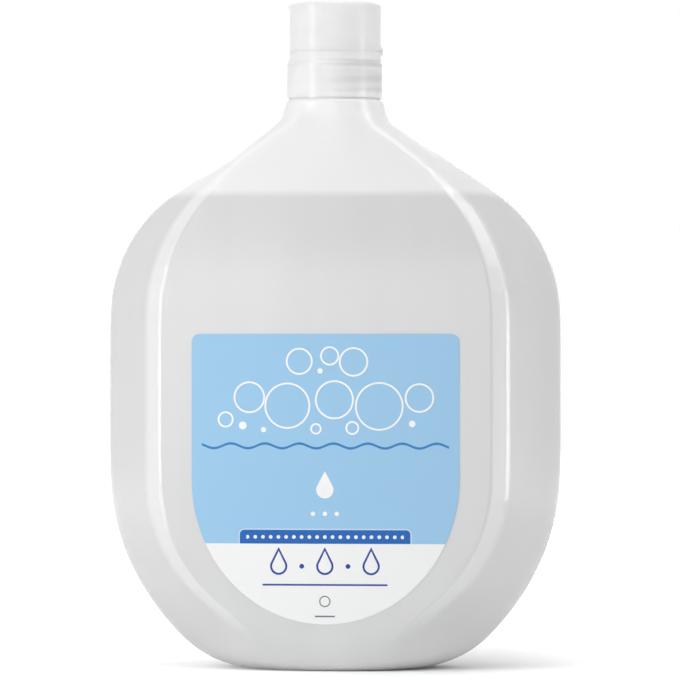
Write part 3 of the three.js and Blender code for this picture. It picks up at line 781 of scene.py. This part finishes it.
def thumb_cutter(name):
    """The block that leaves the thumb recess on the -X side, with sloping ends."""
    low = skirt_bottom + base_height - thumb_low_drop
    high = lid_top - thumb_lip_depth
    outer = -thumb_flat - thumb_cutter_reach
    piece = block(name, (outer, -thumb_cutter_half_width, low),
                  (-thumb_flat, thumb_cutter_half_width, high))
    edit(piece)
    for side, slope in ((-1, thumb_low_slope), (1, thumb_lip_slope)):
        select_where(piece, "verts", lambda v: abs(v.co.x - outer) < 0.1 * MM
                     and (v.co.z - parting) * side > 0)
        bpy.ops.transform.translate(value=(0, 0, side * thumb_cutter_reach * slope))
    object_mode()
    return piece


def hinge_lug(name, near, far):
    """A lug at the hinge, between its flat end near the hinge line and its sloping end."""
    low, high = sorted((near, far))
    piece = block(name, (lid_radius - hinge_lug_root, -hinge_lug_width / 2, low),
                  (lug_reach, hinge_lug_width / 2, high))
    edit(piece)
    select_where(piece, "edges", lambda e: abs(middle(e).x - lug_reach) < 0.1 * MM
                 and abs(middle(e).z - far) < 0.1 * MM)
    bpy.ops.transform.translate(value=(0, 0, (near - far) / 2))
    object_mode()
    return piece


def model_closure_base():
    piece = turned("closure_base_moulding", [
        (skirt_radius, bead_top), (skirt_radius, skirt_bottom + skirt_height),
        (lid_radius, skirt_bottom + skirt_height + mould_edge), (lid_radius, parting),
        (lid_radius - seat_width, parting), (lid_radius - seat_width, deck_top),
        (spout_base_radius, deck_top), (spout_tip_radius + mould_edge, deck_top + 3 * mould_edge),
        (spout_tip_radius, spout_top - mould_edge), (spout_tip_radius - mould_edge, spout_top),
        (orifice_radius, spout_top), (orifice_radius, deck_top - deck_thickness),
        (land_radius, deck_top - deck_thickness), (land_radius, land_height),
        (thread_room_radius, land_height), (thread_room_radius, bead_top + 2 * mould_edge),
        (thread_room_radius + 2 * mould_edge, bead_top), (skirt_radius, bead_top),
    ])
    near = parting - hinge_lug_gap
    combine(piece, hinge_lug("base_lug", near, near - hinge_lug_height), "UNION")
    combine(piece, thumb_cutter("base_thumb_cutter"), "DIFFERENCE")
    combine(piece, thread_ridge("closure_thread", thread_room_radius,
                                neck_radius + thread_clearance, closure_thread_height,
                                closure_thread_turn), "UNION")
    round_edges(piece)
    return piece


def model_lid():
    inner = lid_radius - lid_wall
    ceiling = lid_top - lid_wall - lid_crown
    shoulder = lid_top - lid_crown
    rounding = [(lid_radius - lid_corner * (1 - math.cos(angle)),
                 shoulder - lid_corner * (1 - math.sin(angle)))
                for angle in (math.pi / 2 * i / 6 for i in range(7))]
    crown = [(lid_radius * share, lid_top - lid_crown * share ** 2) for share in (0.6, 0.3, 0.1)]
    piece = turned("flip_lid_moulding", [
        (pin_tip_radius, spout_top - pin_engagement), (pin_radius, spout_top),
        (pin_radius, ceiling - lid_inner_edge), (pin_radius + lid_inner_edge, ceiling),
        (inner - lid_inner_edge, ceiling), (inner, ceiling - lid_inner_edge), (inner, parting),
        (lid_radius, parting), *rounding, *crown,
    ])
    backing_radius = lid_radius - thumb_backing_overlap
    backing = turned("thumb_backing", [
        (backing_radius, parting), (backing_radius, ceiling + thumb_backing_overlap)])
    combine(backing, block("backing_keep", (-lid_radius - MM, -lid_radius, lid_bottom - MM),
                           (-thumb_flat + lid_wall, lid_radius, ceiling + MM)), "INTERSECT")
    combine(piece, backing, "UNION")
    near = parting + hinge_lug_gap
    combine(piece, hinge_lug("lid_lug", near, near + hinge_lug_height), "UNION")
    combine(piece, thumb_cutter("lid_thumb_cutter"), "DIFFERENCE")
    round_edges(piece)
    return piece


def model_hinge_film():
    """The thin web that joins the two lugs, grooved along the hinge line where the real hinge
    folds.
    """
    half_width = hinge_lug_width / 2 - film_side_inset
    piece = block("hinge_film", (lug_reach - film_overlap, -half_width, parting - film_reach),
                  (lug_reach + film_thickness, half_width, parting + film_reach))
    edit(piece)
    for i in range(-4, 5):
        bpy.ops.mesh.select_all(action="SELECT")
        bpy.ops.mesh.bisect(plane_co=(0, 0, parting + i * film_reach / 6), plane_no=(0, 0, 1))
    select_where(piece, "verts", lambda v: v.co.x < lug_reach
                 and abs(v.co.z - parting) < film_reach / 10)
    bpy.ops.transform.translate(value=(film_groove, 0, 0))
    object_mode()
    return piece


# Labels

def model_label(name, wall_piece, facing):
    """Half an ellipse drawn up to the label's top, laid on the panel and thickened. Its rim
    is left as plain white film."""
    bpy.ops.object.select_all(action="DESELECT")
    bpy.ops.mesh.primitive_circle_add(vertices=label_steps, radius=label_half_width,
                                      fill_type="NGON", rotation=(-facing * math.pi / 2, 0, 0))
    piece = bpy.context.object
    piece.name = name
    bpy.ops.object.transform_apply(rotation=True)
    piece.scale = (1, 1, (label_curve_height - label_bottom) / label_half_width)
    piece.location = (0, facing * (body_half_depth + label_stand_off), label_curve_height)
    bpy.ops.object.transform_apply(location=True, scale=True)
    edit(piece)
    bpy.ops.mesh.select_all(action="SELECT")
    bpy.ops.mesh.bisect(plane_co=(0, 0, label_curve_height), plane_no=(0, 0, 1), clear_outer=True)
    select_where(piece, "edges", lambda e: all(abs(v.co.z - label_curve_height) < 0.01 * MM
                                              for v in e.verts))
    bpy.ops.mesh.extrude_region_move(
        TRANSFORM_OT_translate={"value": (0, 0, label_top - label_curve_height)})
    bpy.ops.mesh.select_all(action="SELECT")
    bpy.ops.mesh.dissolve_limited(angle_limit=math.radians(0.01))
    select_where(piece, "verts", lambda v: v.co.z > label_top - 0.01 * MM)
    bpy.ops.mesh.bevel(offset=label_corner, segments=8, affect="VERTICES")
    bpy.ops.mesh.select_all(action="SELECT")
    bpy.ops.mesh.inset(thickness=label_border, depth=0, use_boundary=True)
    piece.data.materials.append(None)
    piece.data.materials.append(None)
    bpy.ops.mesh.select_all(action="INVERT")
    piece.active_material_index = 1
    bpy.ops.object.material_slot_assign()
    for i in range(1, label_columns):
        bpy.ops.mesh.select_all(action="SELECT")
        bpy.ops.mesh.bisect(plane_co=(label_half_width * (2 * i / label_columns - 1), 0, 0),
                            plane_no=(1, 0, 0))
    object_mode()
    apply_modifier(piece, "SHRINKWRAP", target=wall_piece, wrap_method="PROJECT",
                   use_project_x=False, use_project_y=True, use_project_z=False,
                   use_negative_direction=True, use_positive_direction=True, offset=label_lift)
    apply_modifier(piece, "SOLIDIFY", thickness=label_thickness, offset=1)
    return piece


# Stage

def make_camera(azimuth, distance, metres_per_pixel):
    """A level camera at the height of the picture's middle, aimed a little right of the axis."""
    camera = bpy.data.cameras.new("view")
    camera.sensor_width = 36
    camera.lens = camera.sensor_width * distance / (picture_width * metres_per_pixel)
    camera.clip_end = 20
    holder = bpy.data.objects.new("view", camera)
    bpy.context.scene.collection.objects.link(holder)
    across = Vector((math.cos(azimuth), math.sin(azimuth), 0))
    back = Vector((math.sin(azimuth), -math.cos(azimuth), 0))
    holder.location = Vector((0, 0, view_height)) + across * view_aside + back * distance
    holder.rotation_euler = (math.pi / 2, 0, azimuth)
    bpy.context.scene.camera = holder


def softbox(name, azimuth, elevation, distance, size, radiance):
    """An area light round the middle of the pack, its azimuth counted from the camera's."""
    angle = camera_azimuth + math.radians(azimuth)
    tilt = math.radians(elevation)
    way = Vector((math.sin(angle) * math.cos(tilt), -math.cos(angle) * math.cos(tilt),
                  math.sin(tilt)))
    light = bpy.data.lights.new(name, "AREA")
    light.shape = "RECTANGLE"
    light.size, light.size_y = size
    light.energy = radiance * math.pi * size[0] * size[1]
    holder = bpy.data.objects.new(name, light)
    holder.location = Vector((0, 0, view_height)) + way * distance
    holder.rotation_euler = way.to_track_quat("Z", "Y").to_euler()
    holder.visible_camera = False
    bpy.context.scene.collection.objects.link(holder)


def seen_or_mirrored(tree):
    """1 for what the camera sees, directly, in a gloss or through something clear."""
    path = add(tree, "LightPath").node
    mirrored = add(tree, "Math", {0: path.outputs["Is Glossy Ray"],
                                  1: path.outputs["Is Transmission Ray"]}, operation="MAXIMUM")
    return add(tree, "Math", {0: path.outputs["Is Camera Ray"], 1: mirrored}, operation="MAXIMUM")


def make_world(ambient):
    """White behind the pack for the camera, and a dimmer even fill for its light."""
    world = bpy.data.worlds.new("studio")
    world.use_nodes = True
    tree = world.node_tree
    tree.nodes.clear()
    strength = add(tree, "MapRange", {0: seen_or_mirrored(tree), 3: ambient, 4: 1.0})
    background = add(tree, "Background", {0: (1, 1, 1, 1), "Strength": strength})
    add(tree, "OutputWorld", {"Surface": background})
    bpy.context.scene.world = world


def make_floor():
    """White paper that the camera sees as pure white away from the pack's shadow. What it adds
    for the camera grows with the distance from the pack's foot, first fast and then slowly."""
    bpy.ops.object.select_all(action="DESELECT")
    bpy.ops.mesh.primitive_circle_add(vertices=64, radius=4, fill_type="NGON")
    floor = bpy.context.object
    floor.name = "studio_floor"
    material, tree = new_material("white_studio_paper")
    place = object_axes(tree)[0]
    shrunk = add(tree, "VectorMath", {0: place, 1: (1, 0.45, 1)}, operation="MULTIPLY")
    away = add(tree, "VectorMath", {0: shrunk, 1: (0.02, 0.01, 0)}, operation="DISTANCE")
    glow = add(tree, "Math", {
        0: fade(tree, away, 0.0, 0.09, 0.0, 0.45), 1: fade(tree, away, 0.15, 0.5, 0.0, 0.6),
    }, operation="ADD")
    lift = add(tree, "Math", {0: glow, 1: seen_or_mirrored(tree)}, operation="MULTIPLY")
    paper = add(tree, "BsdfDiffuse", {0: linear("F4F4F4")})
    glowing = add(tree, "Emission", {0: (1, 1, 1, 1), "Strength": lift})
    add(tree, "OutputMaterial", {"Surface": add(tree, "AddShader", {0: paper, 1: glowing})})
    floor.data.materials.append(material)


picture_width = 680  # pixels
camera_azimuth = math.radians(6.3)
view_height = 110.5 * MM
view_aside = 1.86 * MM
make_camera(camera_azimuth, distance=2.0, metres_per_pixel=0.338 * MM)

polyethylene = blown_polyethylene()
skirt_plastic = moulded_polypropylene("moulded_polypropylene_painted_thread_shade", True)
lid_plastic = moulded_polypropylene("moulded_polypropylene", False)

bottle = model_bottle()
add_neck_thread(bottle)
smooth(bottle, 40)
dress(bottle, [polyethylene], "filled_bottle", "bottle_wall", "bottle")

closure_base = model_closure_base()
smooth(closure_base)
dress(closure_base, [skirt_plastic], "closure", "closure_plastic", "closure_base")

lid = model_lid()
smooth(lid)
dress(lid, [lid_plastic], "lid", "closure_plastic", "flip_lid")

film = model_hinge_film()
smooth(film, 50)
film.data.materials.append(lid_plastic)
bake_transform(film)

plain_film = label_film("plain_polypropylene_film",
                        lambda tree, flat, x, height: linear("F7F9FB"))
front_label = model_label("front_label_film", bottle, -1)
dress(front_label, [label_film("printed_front_film", front_artwork), plain_film],
      "filled_bottle", "front_label_film", "front_label")
back_label = model_label("back_label_film", bottle, 1)
dress(back_label, [label_film("printed_back_film", back_artwork), plain_film],
      "filled_bottle", "back_label_film", "back_label")

for node, material in (("gel_fill", clear_gel()), ("sealing_wad", foamed_polyethylene())):
    for finish in nodes[node].material_slots:
        finish.material = material

make_world(0.23)
make_floor()
softbox("key_left", -54, 6, 0.45, (0.08, 0.34), 5)
softbox("fill_left", -72, 8, 0.38, (0.3, 0.3), 0.4)
softbox("top_left", -90, 50, 1.0, (0.4, 0.4), 1.2)
softbox("front_left", -30, 14, 0.42, (0.2, 0.3), 0.7)
softbox("front", -10, 2, 1.0, (0.5, 0.7), 1.3)
softbox("low_right", 73, -3.5, 0.45, (0.08, 0.15), 3.6)
softbox("strip_right_low", 72, -1.6, 1.0, (0.12, 0.165), 6)
softbox("strip_right_high", 72, 25, 1.05, (0.13, 0.64), 4.4)
softbox("top_right", 80, 53, 1.0, (0.22, 0.38), 3.6)
softbox("top", 0, 80, 1.0, (0.7, 0.7), 2.45)
softbox("behind", 180, 3, 1.0, (0.9, 0.9), 1.7)

bpy.context.scene.view_settings.view_transform = "Standard"
